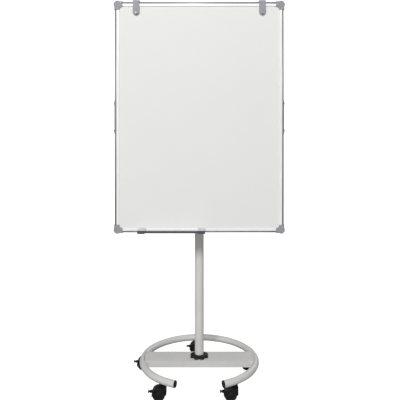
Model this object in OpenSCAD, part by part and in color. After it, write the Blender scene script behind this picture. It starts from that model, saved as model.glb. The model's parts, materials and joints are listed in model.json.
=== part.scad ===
// Flipchart easel: a framed writing board on a telescopic column, which stands
// on a C-shaped tube base with five braked twin-wheel casters.
// Millimetres, +Z up, front towards -Y, floor at z = 0.

/* [Base] */
// Radius of the ring's centreline
ring_radius = 240; // [236:1:250]
// Diameter of the ring tube
ring_tube_d = 28.5; // [27:0.5:29]
// Half of the angle left open at the front of the ring
ring_gap_angle = 23.4; // [20:0.2:26]
// Depth of the flat crossbar, front to back
crossbar_depth = 92; // [84:1:96]

/* [Column] */
// Outer diameter of the fixed tube
outer_tube_d = 38; // [37:0.5:39]
// Outer diameter of the telescopic tube
inner_tube_d = 30; // [28:0.5:31]
// Height of the top of the fixed tube
outer_tube_top = 930; // [900:5:950]

/* [Board] */
// Width over the frame
board_w = 700; // [680:5:720]
// Height over the frame
board_h = 955; // [930:5:980]
// Height of the frame's lower edge above the floor
board_z = 634; // [620:1:640]
// Distance from the column's axis to the front of the frame
board_front = 85; // [85:1:90]

/* [Accessories] */
// Distance between the two pad pegs
peg_spacing = 522; // [480:2:560]
// Left end of the pen tray
tray_left = -250; // [-300:5:-240]
// Length of the pen tray
tray_len = 273.5; // [260:0.5:300]

/* [Casters] */
// Diameter of the wheels
wheel_d = 50; // [49:0.5:50]
// Distance from the stem to the axle
caster_trail = 18; // [17:0.5:18.5]

/* [Hidden] */
$fn = 96;
eps = 1;
running = 0.05;
CASTERS = [1, 2, 3, 4, 5];

// Base
ring_r = ring_tube_d / 2;
ring_z = 74;
ring_wall = 2;
cap_t = 3;
cap_inset = 0.4;
cap_r = ring_r - cap_inset;
cap_plug = 12;
crossbar_z = 60.5;
crossbar_top = ring_z + ring_r;
crossbar_h = crossbar_top - crossbar_z;
crossbar_wall = 2.5;
collar_h = 11.6;
collar_core_r = 31;
collar_lobes = 8;
collar_lobe_r = 12;
collar_lobe_pitch_r = 28.5;
collar_lobe_h = 7;
collar_neck_t = 3;

// Column
outer_r = outer_tube_d / 2;
outer_wall = 2;
outer_bore_r = outer_r - outer_wall;
inner_r = inner_tube_d / 2;
inner_wall = 2;
inner_bottom = 200;
bush_len = 70;
bush_lip = 3;
clamp_h = 32;
clamp_r = 27;
clamp_drop = 4;
clamp_z = outer_tube_top - clamp_h - clamp_drop;
clamp_mid = clamp_z + clamp_h / 2;
clamp_boss_w = 22;
clamp_boss_y = 44;
screw_r = 4;
screw_hole_in = 3;
screw_tip_in = 4;
knob_r = 18;
knob_t = 16;
knob_gap = 1;
grip_lobes = 6;
grip_lobe_share = 0.3;
grip_core_share = 0.85;

// Board
frame_t = 20;
rail_w = 18.4;
rail_round = 8;
sheet_t = 0.6;
core_t = 8;
sheet_set_back = 3;
groove_depth = 9;
groove_u = rail_w - groove_depth;
rail_end = 20;
corner_blob_r = 16;
corner_blob_in = 12;
corner_arm_w = 21.5;
corner_arm_len = 33;
corner_proud = 1.5;
fit_gap = 0.1;
front_y = -board_front;
back_y = front_y + frame_t;
board_top = board_z + board_h;
board_mid = board_z + board_h / 2;

// Rear channel and tilt
channel_h = 139;
channel_d = 20;
channel_wall = 2;
flange_t = 0.9;
flange_front = 3;
dome_r = 4.5;
dome_h = 4;
dome_offset = 56;
pivot_y = -28;
pivot_pin_r = 5;
ear_t = 6;
ear_r = 12;
nose_half = 15.7;
ear_gap = 0.3;
nose_r = 14;
head_r = 20;
inner_top_drop = 31.5;
inner_top = board_mid - inner_top_drop;
head_overlap = 20;
head_bottom = inner_top - head_overlap;
head_top = board_mid + nose_r;
tilt_knob_r = 14;
tilt_pin_end = 40;
tilt_knob_cap = 4;
pin_head_r = 7;
pin_head_t = 3;

// Accessories
hook_w = 27.5;
hook_t = 2.5;
hook_drop = 54.5;
hook_gap = 0.3;
hook_rise = 3.5;
hook_back_leg = 30;
peg_r = 3;
peg_len = 8;
peg_drop = 46.5;
tray_reach = 60;
tray_top = board_z + 20;
tray_floor = board_z + 10;
tray_floor_t = 2.5;
tray_front_t = 3;
tray_lip_top = board_z + 19;
tray_cap_w = 29;
tray_cap_bottom = board_z + 7;
tray_clip_w = 25;
tray_clip_t = 2;

// Casters
wheel_r = wheel_d / 2;
wheel_w = 11.5;
web_half = 5.5;
wheel_side_gap = 0.6;
hood_r = 27.5;
hood_cavity_r = 26;
hood_half_w = 19;
hood_right = 11.5;
hood_top = 54.5;
hood_low_left = 18;
boss_r = 10.5;
boss_top = 57;
stem_r = 4;
stem_bottom = 38;
stem_flange_r = 10;
stem_flange_t = 2.4;
axle_r = 3;
hub_cap_t = 3;
axle_end_gap = 0.5;
web_r = 21;
disc_recess = 1.5;
disc_r = wheel_r * 0.72;
hub_r = 7;
lever_x = -50;
lever_z = 33;
lever_r = 3;
lever_tip = -60;
lever_t = 4;
lever_half_w = 4;
pedal_len = 4;
pedal_t = 6;
pedal_half_w = 8;
lever_pin_r = 1.5;
lever_ear_t = 3;
lever_ear_r = 3;
lever_ear_reach = 7;

// The object's box is centred on the origin front to back.
front_reach = (ring_radius + cap_r) * cos(ring_gap_angle) + cap_t * sin(ring_gap_angle);
back_reach = ring_radius + hood_half_w;
column_y = (front_reach - back_reach) / 2;

// Puts the column's axis in its place in the object's frame.
module at_column() {
    translate([0, column_y, 0]) children();
}

// A solid drawn in X and Z and given a thickness along Y, from y0 to y1.
module along_y(y0, y1) {
    translate([0, y1, 0]) rotate([90, 0, 0]) linear_extrude(y1 - y0) children();
}

// A cylinder along Y from y0 to y1, at x and z.
module rod_y(x, z, r, y0, y1) {
    translate([x, y1, z]) rotate([90, 0, 0]) cylinder(r = r, h = y1 - y0);
}

// A cylinder along X from x0 to x1, at y and z.
module rod_x(y, z, r, x0, x1) {
    translate([x0, y, z]) rotate([0, 90, 0]) cylinder(r = r, h = x1 - x0);
}

// A box given by its two corners.
module block(a, b) {
    translate(a) cube(b - a);
}

function caster_angle(i) = 90 + (i - 1) * 72;

module at_caster(i) {
    translate([ring_radius * cos(caster_angle(i)), ring_radius * sin(caster_angle(i)), 0])
        children();
}

// The ring's swept shape for a given section radius.
module ring_sweep(r) {
    translate([0, 0, ring_z])
        rotate([0, 0, -90 + ring_gap_angle])
            rotate_extrude(angle = 360 - 2 * ring_gap_angle)
                translate([ring_radius, 0]) circle(r = r);
}

module base_ring() {
    color([0.72, 0.71, 0.70]) at_column() difference() {
        ring_sweep(ring_r);
        ring_sweep(ring_r - ring_wall);
        for (i = CASTERS) at_caster(i)
            translate([0, 0, ring_z - ring_r - eps]) cylinder(r = stem_r, h = ring_r);
    }
}

// One cap: a disc on the tube's end and a plug inside the tube.
module ring_end_cap() {
    rotate([90, 0, 0]) cylinder(r = cap_r, h = cap_t);
    translate([0, cap_plug, 0]) rotate([90, 0, 0])
        cylinder(r = ring_r - ring_wall - fit_gap, h = cap_plug);
}

module ring_end_caps() {
    color([0.10, 0.10, 0.10]) at_column() for (side = [0, 1])
        mirror([side, 0, 0])
            rotate([0, 0, -90 + ring_gap_angle])
                translate([ring_radius, 0, ring_z]) ring_end_cap();
}

module base_crossbar() {
    half = crossbar_depth / 2;
    color([0.72, 0.71, 0.70]) at_column() difference() {
        block([-ring_radius, -half, crossbar_z], [ring_radius, half, crossbar_top]);
        block([-ring_radius - eps, -half + crossbar_wall, crossbar_z + crossbar_wall],
              [ring_radius + eps, half - crossbar_wall, crossbar_top - crossbar_wall]);
        translate([0, 0, ring_z]) rotate_extrude()
            translate([ring_radius, 0]) circle(r = ring_r);
        difference() {
            translate([0, 0, crossbar_z - eps])
                cylinder(r = ring_radius + ring_tube_d, h = crossbar_h + 2 * eps);
            translate([0, 0, crossbar_z - 2 * eps])
                cylinder(r = ring_radius - ring_r / 2, h = crossbar_h + 4 * eps);
        }
    }
}

module foot_collar() {
    color([0.08, 0.08, 0.08]) at_column() translate([0, 0, crossbar_top]) difference() {
        union() {
            cylinder(r = collar_core_r, h = collar_lobe_h);
            cylinder(r1 = collar_core_r, r2 = outer_r + collar_neck_t, h = collar_h);
            for (k = [0 : collar_lobes - 1])
                rotate([0, 0, (k + 0.5) * 360 / collar_lobes])
                    translate([collar_lobe_pitch_r, 0, 0])
                        cylinder(r = collar_lobe_r, h = collar_lobe_h);
        }
        translate([0, 0, -eps]) cylinder(r = outer_r + running, h = collar_h + 2 * eps);
    }
}

module caster_stems() {
    flange_top = ring_z - ring_r - running;
    color([0.55, 0.55, 0.56]) at_column() for (i = CASTERS) at_caster(i) {
        translate([0, 0, stem_bottom]) cylinder(r = stem_r, h = ring_z - stem_bottom);
        translate([0, 0, flange_top - stem_flange_t])
            cylinder(r = stem_flange_r, h = stem_flange_t);
    }
}

module column_outer_tube() {
    color([0.76, 0.75, 0.74]) at_column() difference() {
        translate([0, 0, crossbar_top])
            cylinder(r = outer_r, h = outer_tube_top - crossbar_top);
        translate([0, 0, crossbar_top - eps])
            cylinder(r = outer_bore_r, h = outer_tube_top - crossbar_top + 2 * eps);
    }
}

module column_inner_tube() {
    color([0.80, 0.80, 0.80]) at_column() difference() {
        translate([0, 0, inner_bottom]) cylinder(r = inner_r, h = inner_top - inner_bottom);
        translate([0, 0, inner_bottom - eps])
            cylinder(r = inner_r - inner_wall, h = inner_top - inner_bottom + 2 * eps);
    }
}

module guide_bush() {
    color([0.12, 0.12, 0.12]) at_column() difference() {
        union() {
            translate([0, 0, outer_tube_top - bush_len])
                cylinder(r = outer_bore_r, h = bush_len);
            translate([0, 0, outer_tube_top]) cylinder(r = outer_r, h = bush_lip);
        }
        translate([0, 0, outer_tube_top - bush_len - eps])
            cylinder(r = inner_r + running, h = bush_len + bush_lip + 2 * eps);
    }
}

module clamp_collar() {
    color([0.12, 0.12, 0.12]) at_column() difference() {
        union() {
            translate([0, 0, clamp_z]) cylinder(r = clamp_r, h = clamp_h);
            block([-clamp_boss_w / 2, 0, clamp_mid - clamp_boss_w / 2],
                  [clamp_boss_w / 2, clamp_boss_y, clamp_mid + clamp_boss_w / 2]);
        }
        translate([0, 0, clamp_z - eps]) cylinder(r = outer_r, h = clamp_h + 2 * eps);
        rod_y(0, clamp_mid, screw_r + running, outer_r + screw_hole_in, clamp_boss_y + eps);
    }
}

// A round grip with lobes along +Z from z = 0.
module grip(r, t) {
    lobe_r = r * grip_lobe_share;
    cylinder(r = r * grip_core_share, h = t);
    for (k = [0 : grip_lobes - 1]) rotate([0, 0, k * 360 / grip_lobes])
        translate([r - lobe_r, 0, 0]) cylinder(r = lobe_r, h = t);
}

module clamp_knob() {
    face = clamp_boss_y + knob_gap;
    color([0.10, 0.10, 0.10]) at_column() {
        rod_y(0, clamp_mid, screw_r, outer_r + screw_tip_in, face + eps);
        translate([0, face, clamp_mid]) rotate([-90, 0, 0]) grip(knob_r, knob_t);
    }
}

module tilt_head() {
    color([0.20, 0.20, 0.20]) at_column() difference() {
        union() {
            translate([0, 0, head_bottom]) cylinder(r = head_r, h = head_top - head_bottom);
            rod_x(pivot_y, board_mid, nose_r, -nose_half, nose_half);
            block([-nose_half, pivot_y, board_mid - nose_r],
                  [nose_half, 0, board_mid + nose_r]);
        }
        translate([0, 0, head_bottom - eps])
            cylinder(r = inner_r, h = inner_top - head_bottom + eps);
        rod_x(pivot_y, board_mid, pivot_pin_r + running, -nose_half - eps, nose_half + eps);
    }
}

// One hinge ear on the back of the channel, from x0 to x1.
module channel_ear(x0, x1) {
    rod_x(pivot_y, board_mid, ear_r, x0, x1);
    block([x0, back_y + channel_d - channel_wall, board_mid - ear_r],
          [x1, pivot_y, board_mid + ear_r]);
}

module support_channel() {
    low = board_mid - channel_h / 2;
    high = board_mid + channel_h / 2;
    half = board_w / 2;
    back = back_y + channel_d;
    ear_in = nose_half + ear_gap;
    color([0.45, 0.46, 0.47]) at_column() difference() {
        union() {
            block([-half, back - channel_wall, low], [half, back, high]);
            block([-half, back_y, low], [half, back, low + channel_wall]);
            block([-half, back_y, high - channel_wall], [half, back, high]);
            block([-half - flange_t, front_y + flange_front, low], [-half, back, high]);
            block([half, front_y + flange_front, low], [half + flange_t, back, high]);
            channel_ear(-ear_in - ear_t, -ear_in);
            channel_ear(ear_in, ear_in + ear_t);
        }
        rod_x(pivot_y, board_mid, pivot_pin_r, -half / 2, half / 2);
    }
}

// One dome head with its flat side on x = 0, standing along +X.
module dome_head() {
    sphere_r = (dome_r * dome_r + dome_h * dome_h) / (2 * dome_h);
    rotate([0, 90, 0]) rotate_extrude() intersection() {
        translate([0, dome_h - sphere_r]) circle(r = sphere_r);
        square([dome_r + eps, dome_h + eps]);
    }
}

module channel_screws() {
    color([0.35, 0.36, 0.37]) at_column() for (side = [0, 1]) for (dz = [-dome_offset, dome_offset])
        mirror([side, 0, 0])
            translate([board_w / 2 + flange_t, front_y + frame_t / 2, board_mid + dz])
                dome_head();
}

module tilt_pin() {
    head_x = nose_half + ear_gap + ear_t;
    color([0.60, 0.60, 0.61]) at_column() {
        rod_x(pivot_y, board_mid, pivot_pin_r, -head_x, head_x);
        rod_x(pivot_y, board_mid, pin_head_r, -head_x - pin_head_t, -head_x);
        rod_x(pivot_y, board_mid, screw_r, head_x, tilt_pin_end);
    }
}

module tilt_knob() {
    start = nose_half + ear_gap + ear_t + knob_gap;
    color([0.10, 0.10, 0.10]) at_column() difference() {
        translate([start, pivot_y, board_mid]) rotate([0, 90, 0])
            grip(tilt_knob_r, tilt_pin_end - start + tilt_knob_cap);
        rod_x(pivot_y, board_mid, screw_r + running, start - eps, tilt_pin_end + running);
    }
}

module writing_sheet() {
    y = front_y + sheet_set_back;
    u = groove_u;
    color([0.94, 0.94, 0.94]) at_column()
        block([-board_w / 2 + u, y, board_z + u],
              [board_w / 2 - u, y + sheet_t, board_top - u]);
}

module board_core() {
    y = front_y + sheet_set_back + sheet_t;
    u = groove_u;
    color([0.80, 0.78, 0.74]) at_column()
        block([-board_w / 2 + u, y, board_z + u],
              [board_w / 2 - u, y + core_t, board_top - u]);
}

// Rail section: x runs inward from the outer edge, y back from the front.
module rail_section() {
    groove_y = sheet_set_back;
    difference() {
        union() {
            translate([rail_round, rail_round]) circle(r = rail_round);
            translate([rail_round, 0]) square([rail_w - rail_round, frame_t]);
            translate([0, rail_round]) square([rail_round, frame_t - rail_round]);
        }
        translate([groove_u, groove_y]) square([groove_depth + eps, sheet_t + core_t]);
    }
}

// A rail standing along +Z with its outer edge on x = 0 and its front on y = 0.
module rail(length) {
    linear_extrude(length) rail_section();
}

module rail_left() {
    color([0.82, 0.82, 0.82]) at_column()
        translate([-board_w / 2, front_y, board_z + rail_end]) rail(board_h - 2 * rail_end);
}

module rail_right() {
    color([0.82, 0.82, 0.82]) at_column() mirror([1, 0, 0])
        translate([-board_w / 2, front_y, board_z + rail_end]) rail(board_h - 2 * rail_end);
}

// A rail lying along X on the line z = 0, with its outer edge down.
module level_rail(length) {
    translate([length / 2, 0, 0]) rotate([0, -90, 0]) rail(length);
}

module rail_bottom() {
    color([0.82, 0.82, 0.82]) at_column()
        translate([0, front_y, board_z]) level_rail(board_w - 2 * rail_end);
}

module rail_top() {
    color([0.82, 0.82, 0.82]) at_column()
        translate([0, front_y, board_top]) mirror([0, 0, 1]) level_rail(board_w - 2 * rail_end);
}

// The lower left corner piece, with the frame's outer corner at x = z = 0.
module corner_piece() {
    difference() {
        along_y(-corner_proud, frame_t + corner_proud) union() {
            translate([corner_blob_in, corner_blob_in]) circle(r = corner_blob_r);
            translate([corner_blob_in, -corner_proud])
                square([corner_arm_len - corner_blob_in, corner_arm_w]);
            translate([-corner_proud, corner_blob_in])
                square([corner_arm_w, corner_arm_len - corner_blob_in]);
        }
        // room for the two rails
        block([rail_end - fit_gap, -fit_gap, -fit_gap],
              [corner_arm_len + eps, frame_t + fit_gap, rail_w + fit_gap]);
        block([-fit_gap, -fit_gap, rail_end - fit_gap],
              [rail_w + fit_gap, frame_t + fit_gap, corner_arm_len + eps]);
        // room for the board
        block([groove_u - fit_gap, sheet_set_back - fit_gap, groove_u - fit_gap],
              [corner_arm_len + eps, sheet_set_back + sheet_t + core_t + fit_gap,
               corner_arm_len + eps]);
    }
}

// Puts a corner piece at the left or right (sx = 0, 1), bottom or top (sz = 0, 1).
module place_corner(sx, sz) {
    color([0.63, 0.63, 0.65]) at_column() mirror([sx, 0, 0])
        translate([-board_w / 2, front_y, board_z + sz * board_h]) mirror([0, 0, sz])
            corner_piece();
}

module pad_hook(x) {
    y_front = front_y - hook_gap - hook_t;
    y_back = back_y + hook_gap;
    low = board_top - hook_drop + hook_w / 2;
    high = board_top + hook_rise + hook_t;
    color([0.63, 0.63, 0.64]) at_column() {
        along_y(y_front, y_front + hook_t) union() {
            translate([x, low]) circle(r = hook_w / 2);
            translate([x - hook_w / 2, low]) square([hook_w, high - low]);
        }
        block([x - hook_w / 2, y_front, high - hook_t], [x + hook_w / 2, y_back + hook_t, high]);
        block([x - hook_w / 2, y_back, high - hook_back_leg],
              [x + hook_w / 2, y_back + hook_t, high]);
    }
}

module pad_peg(x) {
    y_front = front_y - hook_gap - hook_t;
    color([0.75, 0.75, 0.76]) at_column()
        rod_y(x, board_top - peg_drop, peg_r, y_front - peg_len, y_front);
}

// A thin shelf between the end caps and behind the front strip.
module pen_tray() {
    x0 = tray_left + tray_cap_w;
    x1 = tray_left + tray_len - tray_cap_w;
    color([0.60, 0.60, 0.61]) at_column()
        block([x0, front_y - tray_reach + tray_front_t, tray_floor],
              [x1, front_y, tray_floor + tray_floor_t]);
}

// The strip along the front: a lip for the shelf, taller in front of the caps.
module tray_front() {
    y0 = front_y - tray_reach;
    y1 = y0 + tray_front_t;
    x1 = tray_left + tray_len;
    color([0.30, 0.30, 0.31]) at_column() {
        block([tray_left, y0, tray_floor], [x1, y1, tray_lip_top]);
        block([tray_left, y0, tray_cap_bottom], [tray_left + tray_cap_w, y1, tray_top]);
        block([x1 - tray_cap_w, y0, tray_cap_bottom], [x1, y1, tray_top]);
    }
}

// One end cap with its clip round the lower rail, from x = 0 to the cap's width.
module tray_cap() {
    clip_x = (tray_cap_w - tray_clip_w) / 2;
    clip_low = board_z - hook_gap - tray_clip_t;
    block([0, front_y - tray_reach + tray_front_t, tray_cap_bottom],
          [tray_cap_w, front_y, tray_top]);
    block([clip_x, front_y - tray_clip_t, clip_low],
          [clip_x + tray_clip_w, front_y, tray_cap_bottom + eps]);
    block([clip_x, front_y - tray_clip_t, clip_low],
          [clip_x + tray_clip_w, back_y + hook_gap + tray_clip_t, clip_low + tray_clip_t]);
    block([clip_x, back_y + hook_gap, clip_low],
          [clip_x + tray_clip_w, back_y + hook_gap + tray_clip_t, tray_top]);
}

module tray_end_caps() {
    color([0.62, 0.62, 0.63]) at_column() {
        translate([tray_left, 0, 0]) tray_cap();
        translate([tray_left + tray_len - tray_cap_w, 0, 0]) tray_cap();
    }
}

// The hood's outline seen from the front, with the stem's axis on x = 0.
module hood_outline() {
    translate([-caster_trail, wheel_r]) circle(r = hood_r);
    translate([-caster_trail, wheel_r]) square([caster_trail + hood_right, hood_top - wheel_r]);
}

module caster_hood(i) {
    color([0.09, 0.09, 0.09]) at_column() at_caster(i) difference() {
        union() {
            intersection() {
                along_y(-hood_half_w, hood_half_w) hood_outline();
                block([-caster_trail - hood_r - eps, -hood_half_w - eps, hood_low_left],
                      [hood_right + eps, hood_half_w + eps, hood_top]);
            }
            rod_y(-caster_trail, wheel_r, web_r, -web_half, web_half);
            hood_boss();
            for (side = [-1, 1]) lever_ear(side);
        }
        for (side = [-1, 1])
            rod_y(-caster_trail, wheel_r, hood_cavity_r,
                  side > 0 ? web_half : -hood_half_w - eps,
                  side > 0 ? hood_half_w + eps : -web_half);
        // the shroud stops short on the right, over the wheels
        for (side = [-1, 1])
            block([-caster_trail + web_r, side > 0 ? web_half : -hood_half_w - eps, 0],
                  [hood_right + eps, side > 0 ? hood_half_w + eps : -web_half, wheel_r]);
        translate([0, 0, stem_bottom - eps]) cylinder(r = stem_r + running, h = boss_top);
        rod_y(-caster_trail, wheel_r, axle_r, -web_half - eps, web_half + eps);
        for (side = [-1, 1])
            rod_y(lever_x, lever_z, lever_pin_r + running,
                  side > 0 ? lever_half_w - eps : -hood_half_w - eps,
                  side > 0 ? hood_half_w + eps : -lever_half_w + eps);
    }
}

// The round seat at the top of the hood, under the stem's flange.
module hood_boss() {
    translate([0, 0, hood_top - eps]) cylinder(r = boss_r, h = boss_top - hood_top + eps);
}

// An ear on the hood's left side that carries one end of the brake lever's pin.
module lever_ear(side) {
    y0 = side > 0 ? lever_half_w + ear_gap : -lever_half_w - ear_gap - lever_ear_t;
    rod_y(lever_x, lever_z, lever_ear_r, y0, y0 + lever_ear_t);
    block([lever_x, y0, lever_z - lever_ear_r],
          [lever_x + lever_ear_reach, y0 + lever_ear_t, lever_z + lever_ear_r]);
}

module caster_axle(i) {
    half = web_half + wheel_side_gap + wheel_w - hub_cap_t - axle_end_gap;
    color([0.55, 0.55, 0.56]) at_column() at_caster(i)
        rod_y(-caster_trail, wheel_r, axle_r, -half, half);
}

// A wheel from y0 outwards; side is -1 for the front one and 1 for the back one.
module caster_wheel(i, side) {
    near = web_half + wheel_side_gap;
    far = near + wheel_w;
    y0 = side > 0 ? near : -far;
    face = side > 0 ? far - disc_recess : -far - eps;
    color([0.14, 0.14, 0.15]) at_column() at_caster(i) difference() {
        rod_y(-caster_trail, wheel_r, wheel_r, y0, y0 + wheel_w);
        difference() {
            rod_y(-caster_trail, wheel_r, disc_r, face, face + disc_recess + eps);
            rod_y(-caster_trail, wheel_r, hub_r, face - eps, face + disc_recess + 2 * eps);
        }
        // the bore is blind, so that the hub covers the end of the axle
        rod_y(-caster_trail, wheel_r, axle_r + running,
              side > 0 ? y0 - eps : y0 + hub_cap_t,
              side > 0 ? y0 + wheel_w - hub_cap_t : y0 + wheel_w + eps);
    }
}

module caster_brake(i) {
    pin_half = lever_half_w + ear_gap + lever_ear_t;
    color([0.09, 0.09, 0.09]) at_column() at_caster(i) {
        rod_y(lever_x, lever_z, lever_r, -lever_half_w, lever_half_w);
        block([lever_tip, -lever_half_w, lever_z - lever_t / 2],
              [lever_x, lever_half_w, lever_z + lever_t / 2]);
        block([lever_tip, -pedal_half_w, lever_z - pedal_t / 2],
              [lever_tip + pedal_len, pedal_half_w, lever_z + pedal_t / 2]);
        rod_y(lever_x, lever_z, lever_pin_r, -pin_half, pin_half);
    }
}

base_ring();
ring_end_caps();
base_crossbar();
foot_collar();
caster_stems();
column_outer_tube();
column_inner_tube();
guide_bush();
clamp_collar();
clamp_knob();
tilt_head();
support_channel();
channel_screws();
tilt_pin();
tilt_knob();
writing_sheet();
board_core();
rail_top();
rail_bottom();
rail_left();
rail_right();
place_corner(0, 1);  // corner_top_left
place_corner(1, 1);  // corner_top_right
place_corner(0, 0);  // corner_bottom_left
place_corner(1, 0);  // corner_bottom_right
pad_hook(-peg_spacing / 2);  // pad_hook_left
pad_hook(peg_spacing / 2);  // pad_hook_right
pad_peg(-peg_spacing / 2);  // pad_peg_left
pad_peg(peg_spacing / 2);  // pad_peg_right
pen_tray();
tray_front();
tray_end_caps();
for (i = CASTERS) {
    caster_hood(i);
    caster_axle(i);
    caster_wheel(i, -1);
    caster_wheel(i, 1);
    caster_brake(i);
}
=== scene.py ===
import json
import math

import bmesh
import bpy
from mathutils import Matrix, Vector


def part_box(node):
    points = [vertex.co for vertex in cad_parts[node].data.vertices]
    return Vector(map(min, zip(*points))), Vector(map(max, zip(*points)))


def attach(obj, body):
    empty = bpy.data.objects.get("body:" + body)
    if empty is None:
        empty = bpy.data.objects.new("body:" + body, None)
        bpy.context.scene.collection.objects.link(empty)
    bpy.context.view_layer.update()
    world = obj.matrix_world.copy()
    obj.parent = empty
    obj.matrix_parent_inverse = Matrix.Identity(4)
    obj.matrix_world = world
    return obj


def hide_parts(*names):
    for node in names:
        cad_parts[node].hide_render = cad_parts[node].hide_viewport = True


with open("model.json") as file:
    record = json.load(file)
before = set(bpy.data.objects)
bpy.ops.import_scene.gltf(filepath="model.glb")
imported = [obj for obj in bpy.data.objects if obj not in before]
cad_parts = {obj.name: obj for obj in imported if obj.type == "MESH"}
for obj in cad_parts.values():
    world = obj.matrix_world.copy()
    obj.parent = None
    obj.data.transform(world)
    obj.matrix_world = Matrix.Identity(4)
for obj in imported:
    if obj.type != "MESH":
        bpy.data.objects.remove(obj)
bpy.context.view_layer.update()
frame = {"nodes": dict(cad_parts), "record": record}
scene = bpy.context.scene
nodes = frame["nodes"]
slot_of = {part["node"]: part["material_slot"] for part in frame["record"]["subparts"]}

# sizes that are multiplied by MM are in millimetres
MM = 0.001
CASTERS = (1, 2, 3, 4, 5)
CORNERS = ("top_left", "top_right", "bottom_left", "bottom_right")


# ---------------------------------------------------------------- materials

# how far noise is stretched along each axis
EVEN = (1, 1, 1)
LEVEL_LINES = (0.03, 1, 1)
UPRIGHT_LINES = (1, 1, 0.03)


class Finish:
    """A Principled material with noise in its colour, roughness and relief."""

    # noise outside these is clamped
    noise_from, noise_to = 0.3, 0.7
    # pointiness where wear starts, and where it is full
    wear_from, wear_to = 0.52, 0.62
    coat_roughness = 0.15
    least_roughness = 0.03
    bump_strength = 0.6

    def __init__(self, name, colour, roughness, metallic=0.0, coat=0.0, specular=0.5):
        self.material = bpy.data.materials.new(name)
        self.material.use_nodes = True
        self.tree = self.material.node_tree
        self.shader = self.tree.nodes["Principled BSDF"]
        self.shader.inputs["Metallic"].default_value = metallic
        self.shader.inputs["Coat Weight"].default_value = coat
        self.shader.inputs["Specular IOR Level"].default_value = specular
        self.shader.inputs["Coat Roughness"].default_value = self.coat_roughness
        self.colour = colour
        self.roughness = roughness
        self.place = self.add("ShaderNodeTexCoord")

    def add(self, kind):
        return self.tree.nodes.new(kind)

    def link(self, a, b):
        self.tree.links.new(a, b)

    def noise(self, scale, detail=4.0, stretch=EVEN):
        mapping = self.add("ShaderNodeMapping")
        mapping.inputs["Scale"].default_value = stretch
        texture = self.add("ShaderNodeTexNoise")
        texture.inputs["Scale"].default_value = scale
        texture.inputs["Detail"].default_value = detail
        self.link(self.place.outputs["Object"], mapping.inputs["Vector"])
        self.link(mapping.outputs["Vector"], texture.inputs["Vector"])
        return texture.outputs["Fac"]

    def spread(self, source, low, high):
        """Maps noise to values from low to high."""
        node = self.add("ShaderNodeMapRange")
        node.inputs["From Min"].default_value = self.noise_from
        node.inputs["From Max"].default_value = self.noise_to
        node.inputs["To Min"].default_value = low
        node.inputs["To Max"].default_value = high
        self.link(source, node.inputs["Value"])
        return node.outputs["Result"]

    def vary_colour(self, scale, amount, wear=0.0, wear_colour=(0.5, 0.5, 0.5)):
        """Mottles the colour by amount, and mixes in the wear colour along sharp edges."""
        mix = self.add("ShaderNodeMix")
        mix.data_type = "RGBA"
        mix.inputs["A"].default_value = (*[c * (1 - amount) for c in self.colour], 1)
        mix.inputs["B"].default_value = (*[min(1, c * (1 + amount)) for c in self.colour], 1)
        self.link(self.spread(self.noise(scale), 0.0, 1.0), mix.inputs["Factor"])
        result = mix.outputs["Result"]
        if wear:
            edge = self.add("ShaderNodeMapRange")
            edge.inputs["From Min"].default_value = self.wear_from
            edge.inputs["From Max"].default_value = self.wear_to
            edge.inputs["To Max"].default_value = wear
            geometry = self.add("ShaderNodeNewGeometry")
            self.link(geometry.outputs["Pointiness"], edge.inputs["Value"])
            worn = self.add("ShaderNodeMix")
            worn.data_type = "RGBA"
            worn.inputs["B"].default_value = (*wear_colour, 1)
            self.link(edge.outputs["Result"], worn.inputs["Factor"])
            self.link(result, worn.inputs["A"])
            result = worn.outputs["Result"]
        self.link(result, self.shader.inputs["Base Color"])

    def vary_roughness(self, scale, amount, stretch=EVEN):
        low = max(self.least_roughness, self.roughness - amount)
        high = min(1.0, self.roughness + amount)
        noise = self.noise(scale, detail=3.0, stretch=stretch)
        self.link(self.spread(noise, low, high), self.shader.inputs["Roughness"])

    def relief(self, scale, height_mm, stretch=EVEN, detail=3.0):
        bump = self.add("ShaderNodeBump")
        bump.inputs["Strength"].default_value = self.bump_strength
        bump.inputs["Distance"].default_value = height_mm * MM
        self.link(self.noise(scale, detail, stretch), bump.inputs["Height"])
        self.link(bump.outputs["Normal"], self.shader.inputs["Normal"])


def powder_coat(name, colour):
    """Satin powder paint: a fine orange peel and slightly thin paint on the edges."""
    finish = Finish(name, colour, roughness=0.42)
    finish.vary_colour(scale=9, amount=0.035, wear=0.25, wear_colour=(0.70, 0.70, 0.69))
    finish.vary_roughness(scale=60, amount=0.07)
    finish.relief(scale=900, height_mm=0.05)
    return finish.material


def moulded(name, colour, roughness=0.5, grain=1600, specular=0.5):
    """Moulded plastic: a fine spark-eroded grain and faint flow marks."""
    finish = Finish(name, colour, roughness, specular=specular)
    lighter = tuple(min(1, c * 1.6 + 0.006) for c in colour)
    finish.vary_colour(scale=25, amount=0.08, wear=0.35, wear_colour=lighter)
    finish.vary_roughness(scale=120, amount=0.09)
    finish.relief(scale=grain, height_mm=0.04)
    return finish.material


def drawn_metal(name, colour, stretch, roughness=0.32):
    """Metal with fine lines along the axis whose stretch is smallest, or even if none is."""
    finish = Finish(name, colour, roughness, metallic=1.0)
    finish.vary_colour(scale=30, amount=0.05)
    finish.vary_roughness(scale=700, amount=0.10, stretch=stretch)
    finish.relief(scale=1200, height_mm=0.02, stretch=stretch)
    return finish.material


def anodised(name, colour, stretch):
    """Anodised extrusion, so matt that it reads almost as paint."""
    finish = Finish(name, colour, roughness=0.38, metallic=0.25)
    finish.vary_colour(scale=12, amount=0.025)
    finish.vary_roughness(scale=500, amount=0.06, stretch=stretch)
    finish.relief(scale=1500, height_mm=0.015, stretch=stretch)
    return finish.material


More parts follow.
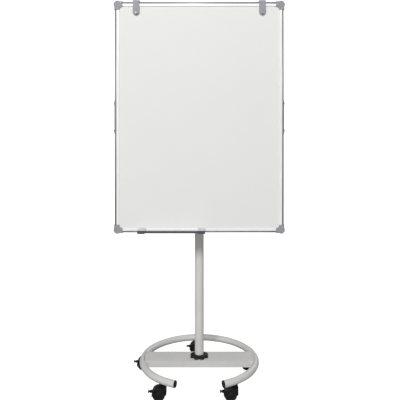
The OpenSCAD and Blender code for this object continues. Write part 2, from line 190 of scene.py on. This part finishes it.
def writing_lacquer():
    """White writing lacquer: satin, with a thin clear coat and faint wiping haze."""
    finish = Finish("writing_lacquer", (0.80, 0.80, 0.79), roughness=0.40, coat=0.03, specular=0.2)
    finish.vary_colour(scale=3.5, amount=0.006)
    finish.vary_roughness(scale=9, amount=0.03, stretch=(1, 1, 0.35))
    finish.relief(scale=420, height_mm=0.006)
    return finish.material


def fibre_board():
    """The plain back of the board: pressed fibre with a pale coat."""
    finish = Finish("fibre_board", (0.60, 0.58, 0.54), roughness=0.72)
    finish.vary_colour(scale=260, amount=0.10)
    finish.vary_roughness(scale=180, amount=0.08)
    finish.relief(scale=700, height_mm=0.10, detail=6)
    return finish.material


def studio_paper():
    """Matt paper that also glows evenly."""
    finish = Finish("studio_paper", (0.25, 0.25, 0.25), roughness=0.9)
    finish.shader.inputs["Emission Color"].default_value = (1, 1, 1, 1)
    finish.shader.inputs["Emission Strength"].default_value = 0.90
    finish.vary_colour(scale=2, amount=0.004)
    return finish.material


HOOD_BLACK = (0.006, 0.006, 0.007)
WHEEL_BLACK = (0.009, 0.009, 0.010)
FACE_PALE = (0.95, 0.95, 0.95)
# grey for the frame's rounded edges: painted shade where the edge turns away from the light, on a copy of
# the pale face's finish
SHADED_EDGE_GREY = (0.34, 0.34, 0.35)
BY_SLOT = {
    "base_paint": powder_coat("base_powder_coat", (0.665, 0.66, 0.65)),
    "column_paint": powder_coat("column_powder_coat", (0.66, 0.65, 0.63)),
    "zinc_steel": drawn_metal("zinc_steel", (0.60, 0.60, 0.61), UPRIGHT_LINES),
    "black_plastic": moulded("black_plastic", (0.010, 0.010, 0.011), specular=0.25),
    "dark_steel": drawn_metal("dark_steel", (0.05, 0.05, 0.05), UPRIGHT_LINES, roughness=0.5),
    "head_casting": moulded("head_casting", (0.10, 0.10, 0.105), roughness=0.55, grain=500),
    "channel_paint": powder_coat("channel_powder_coat", (0.22, 0.225, 0.23)),
    "writing_enamel": writing_lacquer(),
    "core_board": fibre_board(),
    "frame_metal": anodised("frame_face_level", FACE_PALE, LEVEL_LINES),
    "grey_plastic": moulded("grey_plastic", (0.25, 0.25, 0.265)),
    "tray_grey": moulded("tray_grey", (0.52, 0.52, 0.54)),
    # near black on the tray's front faces: painted shade below the lit tray top in tray_grey
    "tray_dark": moulded("tray_dark", (0.060, 0.060, 0.064)),
    "caster_hood_plastic": moulded("caster_hood_plastic", HOOD_BLACK, roughness=0.42, specular=0.2),
    "wheel_plastic": moulded("wheel_plastic", WHEEL_BLACK, grain=1100, specular=0.2),
}
FACE_UPRIGHT = anodised("frame_face_upright", FACE_PALE, UPRIGHT_LINES)
# grey copies of the frame's anodised finish: painted shade on the rails' rounded edges
SHADED_EDGE_LEVEL = anodised("frame_edge_painted_shade_level", SHADED_EDGE_GREY, LEVEL_LINES)
SHADED_EDGE_UPRIGHT = anodised("frame_edge_painted_shade_upright", SHADED_EDGE_GREY, UPRIGHT_LINES)
WELD = drawn_metal("weld_bead", (0.50, 0.50, 0.49), EVEN, roughness=0.45)


def finish_nodes():
    """Gives every CAD node the material of its slot."""
    for name, obj in nodes.items():
        obj.data.materials.clear()
        obj.data.materials.append(BY_SLOT[slot_of[name]])


# ---------------------------------------------------------------- mesh helpers

def centre(node):
    low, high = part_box(node)
    return (Vector(low) + Vector(high)) / 2


def new_piece(name, verts, faces, body, slot, material=None, smooth=True):
    """Makes a mesh object that rides on a body, with the slot's material unless one is given."""
    mesh = bpy.data.meshes.new(name)
    mesh.from_pydata([tuple(v) for v in verts], [], faces)
    mesh.update()
    cleaned = bmesh.new()
    cleaned.from_mesh(mesh)
    bmesh.ops.remove_doubles(cleaned, verts=cleaned.verts, dist=1e-6)
    bmesh.ops.recalc_face_normals(cleaned, faces=cleaned.faces)
    cleaned.to_mesh(mesh)
    cleaned.free()
    for face in mesh.polygons:
        face.use_smooth = smooth
    mesh.materials.append(material or BY_SLOT[slot])
    obj = bpy.data.objects.new(name, mesh)
    scene.collection.objects.link(obj)
    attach(obj, body)
    return obj


def soften(obj, width_mm):
    """Rounds the sharp edges, as every moulded, pressed or sawn edge is."""
    bevel = obj.modifiers.new("soft_edges", "BEVEL")
    bevel.width = width_mm * MM
    bevel.segments = 3
    bevel.limit_method = "ANGLE"
    bevel.angle_limit = math.radians(40)


def tube_faces(rows, columns, far_end=True):
    """Quads between rows of points that each close on themselves, and a face across each end."""
    faces = [
        (r * columns + c, r * columns + (c + 1) % columns,
         (r + 1) * columns + (c + 1) % columns, (r + 1) * columns + c)
        for r in range(rows - 1) for c in range(columns)
    ]
    faces.append(tuple(reversed(range(columns))))
    if far_end:
        faces.append(tuple((rows - 1) * columns + c for c in range(columns)))
    return faces


def turned(profile, steps, place):
    """Points and faces of a profile of (radius, height) turned about an axis."""
    verts = [
        place(radius * math.cos(math.tau * k / steps), radius * math.sin(math.tau * k / steps), height)
        for radius, height in profile for k in range(steps)
    ]
    return verts, tube_faces(len(profile), steps)


def merge(*parts):
    """Joins parts of (points, faces) into one."""
    verts, faces = [], []
    for more_verts, more_faces in parts:
        shift = len(verts)
        verts += more_verts
        faces += [tuple(i + shift for i in face) for face in more_faces]
    return verts, faces


def arc(cx, cy, radius, start, end, steps):
    """Points on an arc, angles in degrees."""
    return [
        (cx + radius * math.cos(math.radians(start + (end - start) * k / steps)),
         cy + radius * math.sin(math.radians(start + (end - start) * k / steps)))
        for k in range(steps + 1)
    ]


# ---------------------------------------------------------------- frame rails

RAIL_W = 18.4
RAIL_DEEP = 20.0
RAIL_ROUND = 8.0
# how far past the rounded edge the groove reaches its bottom, leaves it and ends
GROOVE_STEPS = (0.3, 0.7, 1.0)
GROOVE_DEEP = 0.35
LIP_BREAK = 0.8
BACK_BREAK = 0.6
FRONT_SET_BACK = 0.03
STRAIGHT_ON = 0.999


def rail_profile():
    """Section seen along the rail: inward from the outer edge, back from the front."""
    rounded = arc(RAIL_ROUND, RAIL_ROUND, RAIL_ROUND, 180, 270, 10)
    bottom, leave, end = (RAIL_ROUND + step for step in GROOVE_STEPS)
    groove = [(bottom, GROOVE_DEEP), (leave, GROOVE_DEEP), (end, 0.0)]
    face = [(RAIL_W - LIP_BREAK, 0.0), (RAIL_W, LIP_BREAK)]
    inner_back = [(RAIL_W, RAIL_DEEP - BACK_BREAK), (RAIL_W - BACK_BREAK, RAIL_DEEP)]
    outer_back = [(LIP_BREAK, RAIL_DEEP), (0.0, RAIL_DEEP - LIP_BREAK)]
    return rounded + groove + face + inner_back + outer_back


def make_rail(side):
    """Replaces a rail with an extrusion that has a pale face and a rounded edge painted grey as shade."""
    node = "rail_" + side
    low, high = (Vector(corner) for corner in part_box(node))
    upright = side in ("left", "right")
    section = rail_profile()
    verts = []
    for far in (False, True):
        for u, v in section:
            # the front stays a hair behind the tray, which slides along it
            y = low.y + max(v, FRONT_SET_BACK) * MM
            if upright:
                x = low.x + u * MM if side == "left" else high.x - u * MM
                verts.append((x, y, high.z if far else low.z))
            else:
                z = low.z + u * MM if side == "bottom" else high.z - u * MM
                verts.append((high.x if far else low.x, y, z))
    piece = new_piece("rail_%s_extrusion" % side, verts, tube_faces(2, len(section)), "board",
                      "frame_metal", FACE_UPRIGHT if upright else None, smooth=False)
    piece.data.materials.append(SHADED_EDGE_UPRIGHT if upright else SHADED_EDGE_LEVEL)
    outer = low if side in ("left", "bottom") else high
    axis = 0 if upright else 2
    for face in piece.data.polygons:
        on_edge = abs(face.center[axis] - outer[axis]) < RAIL_ROUND * MM
        # faces on the rounded edge take the grey copy, which is painted shade
        face.material_index = 1 if on_edge else 0
        # faces that look straight forward or back stay flat shaded
        face.use_smooth = on_edge and abs(face.normal.y) < STRAIGHT_ON
    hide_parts(node)


# ---------------------------------------------------------------- base details

COLLAR_LOBES = 8
# the lobes point between the axes, so they reach a little further than the box shows
COLLAR_REACH = 1.055
COLLAR_VALLEY = 0.80
COLLAR_GAP = 0.3
# powers that round the lobes and the shoulder, and let the top fall between the lobes
LOBE_POWER = 0.6
SHOULDER_POWER = 0.75
TOP_POWER = 0.85
VALLEY_POWER = 0.35


def make_foot_collar():
    """The lobed cover: its rim waves in and out, and its top falls between the lobes."""
    low, high = (Vector(corner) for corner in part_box("foot_collar"))
    middle = (low + high) / 2
    tube_r = (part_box("column_outer_tube")[1][0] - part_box("column_outer_tube")[0][0]) / 2
    outer_r = (high.x - low.x) / 2 * COLLAR_REACH
    tall = high.z - low.z
    steps, rings = 192, 14
    verts = []
    for ring in range(rings):
        up = ring / (rings - 1) * math.pi / 2
        for k in range(steps):
            angle = math.tau * k / steps
            wave = 0.5 - 0.5 * math.cos(COLLAR_LOBES * (angle - math.tau / 4))
            rim = outer_r * (COLLAR_VALLEY + (1 - COLLAR_VALLEY) * wave ** LOBE_POWER)
            radius = tube_r + COLLAR_GAP * MM + (rim - tube_r) * math.cos(up) ** SHOULDER_POWER
            height = tall * math.sin(up) ** (TOP_POWER + VALLEY_POWER * (1 - wave))
            x, y = middle.x + radius * math.cos(angle), middle.y + radius * math.sin(angle)
            verts.append((x, y, low.z + height))
    faces = tube_faces(rings, steps, far_end=False)
    piece = new_piece("foot_collar_cover", verts, faces, "base", "black_plastic")
    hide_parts("foot_collar")


WELD_POINTS = 41
WELD_SIDES = 10
WELD_R = 1.6
WELD_RIPPLE = 0.18
WELD_RIPPLE_TURN = 2.4
WELD_INSIDE_RING = 6.5
WELD_BELOW_TOP = 1.2
WELD_CROWN = 1.1


def make_weld(side):
    """The bead between the crossbar's end and the ring, from edge to edge of the bar."""
    low, high = (Vector(corner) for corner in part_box("base_crossbar"))
    column = centre("column_outer_tube")
    ring_low, ring_high = (Vector(corner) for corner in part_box("base_ring"))
    ring_out = (ring_high.x - ring_low.x) / 2
    tube = ring_high.z - ring_low.z
    reach = ring_out - tube / 2 - WELD_INSIDE_RING * MM
    half_angle = math.asin((high.y - low.y) / 2 / reach)
    verts = []
    for i in range(WELD_POINTS):
        angle = -half_angle + 2 * half_angle * i / (WELD_POINTS - 1)
        bead_r = WELD_R * MM * (1 + WELD_RIPPLE * math.sin(i * WELD_RIPPLE_TURN))
        out = Vector((side * math.cos(angle), math.sin(angle), 0))
        spot = Vector((column.x, column.y, high.z - WELD_BELOW_TOP * MM)) + out * reach
        for k in range(WELD_SIDES):
            turn = math.tau * k / WELD_SIDES
            rise = min(bead_r * math.sin(turn), WELD_CROWN * MM)
            verts.append(spot + out * (bead_r * math.cos(turn)) + Vector((0, 0, rise)))
    faces = tube_faces(WELD_POINTS, WELD_SIDES)
    new_piece("weld_%s" % ("right" if side > 0 else "left"), verts, faces, "base", "base_paint", WELD)


# ---------------------------------------------------------------- casters

WHEEL_STEPS = 72
WHEEL_BORE_R = 3.1
# shares of the wheel's radius and width, from its inner face over the tread to the hub cap
WHEEL_SECTION = [
    (0.90, 0.0), (0.975, 0.05), (0.995, 0.16), (1.0, 0.35), (1.0, 0.68), (0.985, 0.86),
    (0.93, 0.97), (0.88, 1.0), (0.80, 1.0), (0.765, 0.93), (0.74, 0.86), (0.34, 0.86),
    (0.31, 0.95), (0.27, 0.985),
]
WHEEL_RIBS = 6
WHEEL_RIB_HALF = 0.8
# shares of the radius and of the width where a rib starts and ends
WHEEL_RIB_REACH = (0.33, 0.75)
WHEEL_RIB_RISE = (0.84, 0.915)
# along the top of the brake lever's pedal: how far along, and how high over its top
GRIP_RIB = [(0.0, -0.2), (0.4, 0.5), (0.8, 0.5), (1.2, -0.2)]
GRIP_RIB_FIRST = 0.6
GRIP_RIB_PITCH = 1.6
GRIP_RIB_INSET = 1.2


def wheel_rib(spot, angle, radius, width):
    """A low radial rib on the wheel's disc."""
    half = WHEEL_RIB_HALF * MM
    cos, sin = math.cos(angle), math.sin(angle)
    start, end = (radius * share for share in WHEEL_RIB_REACH)
    outline = ((start, -half), (end, -half), (end, half), (start, half))
    verts = [
        spot(cos * reach - sin * aside, sin * reach + cos * aside, across)
        for across in (width * share for share in WHEEL_RIB_RISE) for reach, aside in outline
    ]
    return verts, tube_faces(2, len(outline))


def make_wheel(index, place):
    """A hard wheel: crowned tread, raised rim, set-back disc with ribs and a hub cap."""
    node = "caster_%d_wheel_%s" % (index, place)
    low, high = (Vector(corner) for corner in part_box(node))
    middle = (low + high) / 2
    radius = (high.z - low.z) / 2
    width = high.y - low.y
    inner_y, outward = (low.y, 1) if place == "back" else (high.y, -1)

    def spot(a, b, across):
        return (middle.x + a, inner_y + outward * across, middle.z + b)

    section = [(radius * out, width * across) for out, across in WHEEL_SECTION]
    bore = WHEEL_BORE_R * MM
    body = turned([(bore, 0.0), *section, (bore, section[-1][1])], WHEEL_STEPS, spot)
    ribs = [wheel_rib(spot, math.tau * k / WHEEL_RIBS, radius, width) for k in range(WHEEL_RIBS)]
    verts, faces = merge(body, *ribs)
    piece = new_piece(node + "_detailed", verts, faces, node, "wheel_plastic")
    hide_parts(node)


def make_brake_ribs(index):
    """Two grip ribs along the top of the brake lever's pedal."""
    node = "caster_%d_brake" % index
    low, high = (Vector(corner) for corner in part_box(node))
    ends = (low.y + GRIP_RIB_INSET * MM, high.y - GRIP_RIB_INSET * MM)
    parts = []
    for k in range(2):
        start = low.x + (GRIP_RIB_FIRST + GRIP_RIB_PITCH * k) * MM
        verts = [(start + along * MM, y, high.z + rise * MM) for y in ends for along, rise in GRIP_RIB]
        parts.append((verts, tube_faces(2, len(GRIP_RIB))))
    verts, faces = merge(*parts)
    new_piece(node + "_ribs", verts, faces, node, "caster_hood_plastic", smooth=False)


# ---------------------------------------------------------------- knobs and screws

KNOB_STEPS = 120
KNOB_LOBES = 6
KNOB_LOBE_DEEP = 0.09
# how fast the lobes fade towards the middle of the face
KNOB_LOBE_FADE = 1.3
KNOB_GRIP_TALL = 16
KNOB_SHAFT_R = 3.9
# shares of the knob's radius and height, from its base over the rim to the recess in its face
KNOB_SECTION = [
    (0.30, 0.0), (0.80, 0.0), (0.96, 0.08), (1.0, 0.22), (1.0, 0.74), (0.95, 0.90), (0.84, 0.97),
    (0.55, 0.985), (0.48, 0.94), (0.02, 0.95),
]
CHANNEL_DEEP = 20
BACK_SCREWS_ALONG = (0.10, 0.30, 0.70, 0.90)
BACK_SCREWS_UP = (0.2, 0.8)
# radius and height of a pan head with a round recess
PAN_HEAD = [(4.6, -0.2), (4.6, 0.8), (4.1, 1.8), (2.8, 2.4), (1.3, 2.5), (1.1, 1.2), (0.2, 1.2)]


def make_knob(node, axis):
    """A six-lobed hand knob with a rounded rim and a shallow recess, in place of the CAD grip."""
    low, high = (Vector(corner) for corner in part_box(node))
    middle = (low + high) / 2
    if axis == "y":
        radius = (high.x - low.x) / 2
        base, tip = high.y - KNOB_GRIP_TALL * MM, high.y
    else:
        radius = (high.z - low.z) / 2
        base, tip = low.x, high.x

    def spot(a, b, along):
        return (middle.x + a, along, middle.z + b) if axis == "y" else (along, middle.y + a, middle.z + b)

    verts = []
    for share, rise in KNOB_SECTION:
        deep = KNOB_LOBE_DEEP * min(1, share * KNOB_LOBE_FADE)
        for k in range(KNOB_STEPS):
            angle = math.tau * k / KNOB_STEPS
            reach = radius * share * (1 - deep * (0.5 - 0.5 * math.cos(KNOB_LOBES * angle)))
            along = base + (tip - base) * rise
            verts.append(spot(reach * math.cos(angle), reach * math.sin(angle), along))
    shape = (verts, tube_faces(len(KNOB_SECTION), KNOB_STEPS))
    if axis == "y":
        shaft_r = KNOB_SHAFT_R * MM
        shape = merge(shape, turned([(shaft_r, low.y), (shaft_r, base + MM)], 32, spot))
    piece = new_piece(node + "_grip", shape[0], shape[1], node, "black_plastic")
    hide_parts(node)


def screw_head(x, face, z):
    def spot(a, b, along):
        return (x + a, face + along, z + b)

    return turned([(radius * MM, height * MM) for radius, height in PAN_HEAD], 28, spot)


def make_back_screws():
    """Pan-head screws on the back of the channel that carries the board."""
    low, high = (Vector(corner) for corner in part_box("support_channel"))
    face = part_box("rail_left")[1][1] + CHANNEL_DEEP * MM
    parts = [
        screw_head(low.x + (high.x - low.x) * share, face, low.z + (high.z - low.z) * rise)
        for share in BACK_SCREWS_ALONG for rise in BACK_SCREWS_UP
    ]
    verts, faces = merge(*parts)
    new_piece("channel_back_screws", verts, faces, "board", "zinc_steel")


# ---------------------------------------------------------------- build

# widths of the rounded edges, in millimetres
SOFT_EDGES = {
    "base_crossbar": 1.6, "ring_end_caps": 0.8, "pen_tray": 0.4, "tray_front": 0.5, "tray_end_caps": 1.0,
    "pad_hook_left": 0.7, "pad_hook_right": 0.7, "pad_peg_left": 0.6, "pad_peg_right": 0.6,
    "tilt_head": 1.2, "clamp_collar": 1.0, "guide_bush": 0.4, "support_channel": 0.25,
}


def soften_nodes():
    """Rounds the edges of the CAD nodes that need it."""
    for name, width in SOFT_EDGES.items():
        soften(nodes[name], width)
    for corner in CORNERS:
        soften(nodes["corner_" + corner], 0.6)
    for index in CASTERS:
        soften(nodes["caster_%d_hood" % index], 0.6)
        soften(nodes["caster_%d_brake" % index], 0.5)


finish_nodes()
soften_nodes()
for side in ("left", "right", "top", "bottom"):
    make_rail(side)
make_foot_collar()
make_weld(-1)
make_weld(1)
for index in CASTERS:
    make_wheel(index, "front")
    make_wheel(index, "back")
    make_brake_ribs(index)
make_knob("clamp_knob", "y")
make_knob("tilt_knob", "x")
make_back_screws()


# ---------------------------------------------------------------- stage, light and camera

SWEEP_R = 6.5
SWEEP_BEND = 2.0
SWEEP_TALL = 6.0
SWEEP_STEPS = 96
WORLD_STRENGTH = 0.05
CAMERA_DISTANCE = 2.387
CAMERA_HEIGHT = 1.114
LENS_MM = 50.15
SENSOR_MM = 36
SHIFT_X = 0.0018
SHIFT_Y = -0.2085


def make_stage():
    """A round pale paper sweep. Light linking keeps much of its glow off the easel."""
    bend = arc(SWEEP_R - SWEEP_BEND, SWEEP_BEND, SWEEP_BEND, -90, 0, 24)
    line = [(0.01, 0.0), *bend, (SWEEP_R, SWEEP_TALL)]
    verts = [
        (r * math.cos(math.tau * k / SWEEP_STEPS), r * math.sin(math.tau * k / SWEEP_STEPS), z)
        for r, z in line for k in range(SWEEP_STEPS)
    ]
    mesh = bpy.data.meshes.new("studio_sweep")
    mesh.from_pydata(verts, [], tube_faces(len(line), SWEEP_STEPS, far_end=False))
    for face in mesh.polygons:
        face.use_smooth = True
    mesh.materials.append(studio_paper())
    sweep = bpy.data.objects.new("studio_sweep", mesh)
    scene.collection.objects.link(sweep)
    own_glow = bpy.data.collections.new("sweep_own_glow")
    own_glow.objects.link(sweep)
    sweep.light_linking.receiver_collection = own_glow


def area_light(name, place, target, size, watts):
    data = bpy.data.lights.new(name, "AREA")
    data.shape = "RECTANGLE"
    data.size, data.size_y = size
    data.energy = watts
    light = bpy.data.objects.new(name, data)
    light.location = place
    light.rotation_euler = (Vector(target) - Vector(place)).to_track_quat("-Z", "Y").to_euler()
    scene.collection.objects.link(light)


def make_world():
    world = bpy.data.worlds.new("studio")
    world.use_nodes = True
    background = world.node_tree.nodes["Background"]
    background.inputs["Color"].default_value = (1, 1, 1, 1)
    background.inputs["Strength"].default_value = WORLD_STRENGTH
    scene.world = world


def make_camera():
    """A level camera straight in front of the column, shifted down to frame the easel."""
    column = centre("column_outer_tube")
    lens = bpy.data.cameras.new("camera")
    lens.sensor_width = SENSOR_MM
    lens.lens = LENS_MM
    lens.shift_x = SHIFT_X
    lens.shift_y = SHIFT_Y
    camera = bpy.data.objects.new("camera", lens)
    camera.location = (column.x, column.y - CAMERA_DISTANCE, CAMERA_HEIGHT)
    camera.rotation_euler = (math.radians(90), 0, 0)
    scene.collection.objects.link(camera)
    scene.camera = camera


make_stage()
# aimed at the floor in front, which evens the board's top and foot a little
area_light("key_front", place=(-1.0, -5.3, 5.1), target=(-0.2, -3.0, 0.0), size=(2.1, 1.9), watts=399)
area_light("back_right", place=(2.4, 4.2, 3.2), target=(0, 0, 0.4), size=(2.0, 1.6), watts=50)
make_world()
make_camera()
scene.view_settings.view_transform = "Standard"
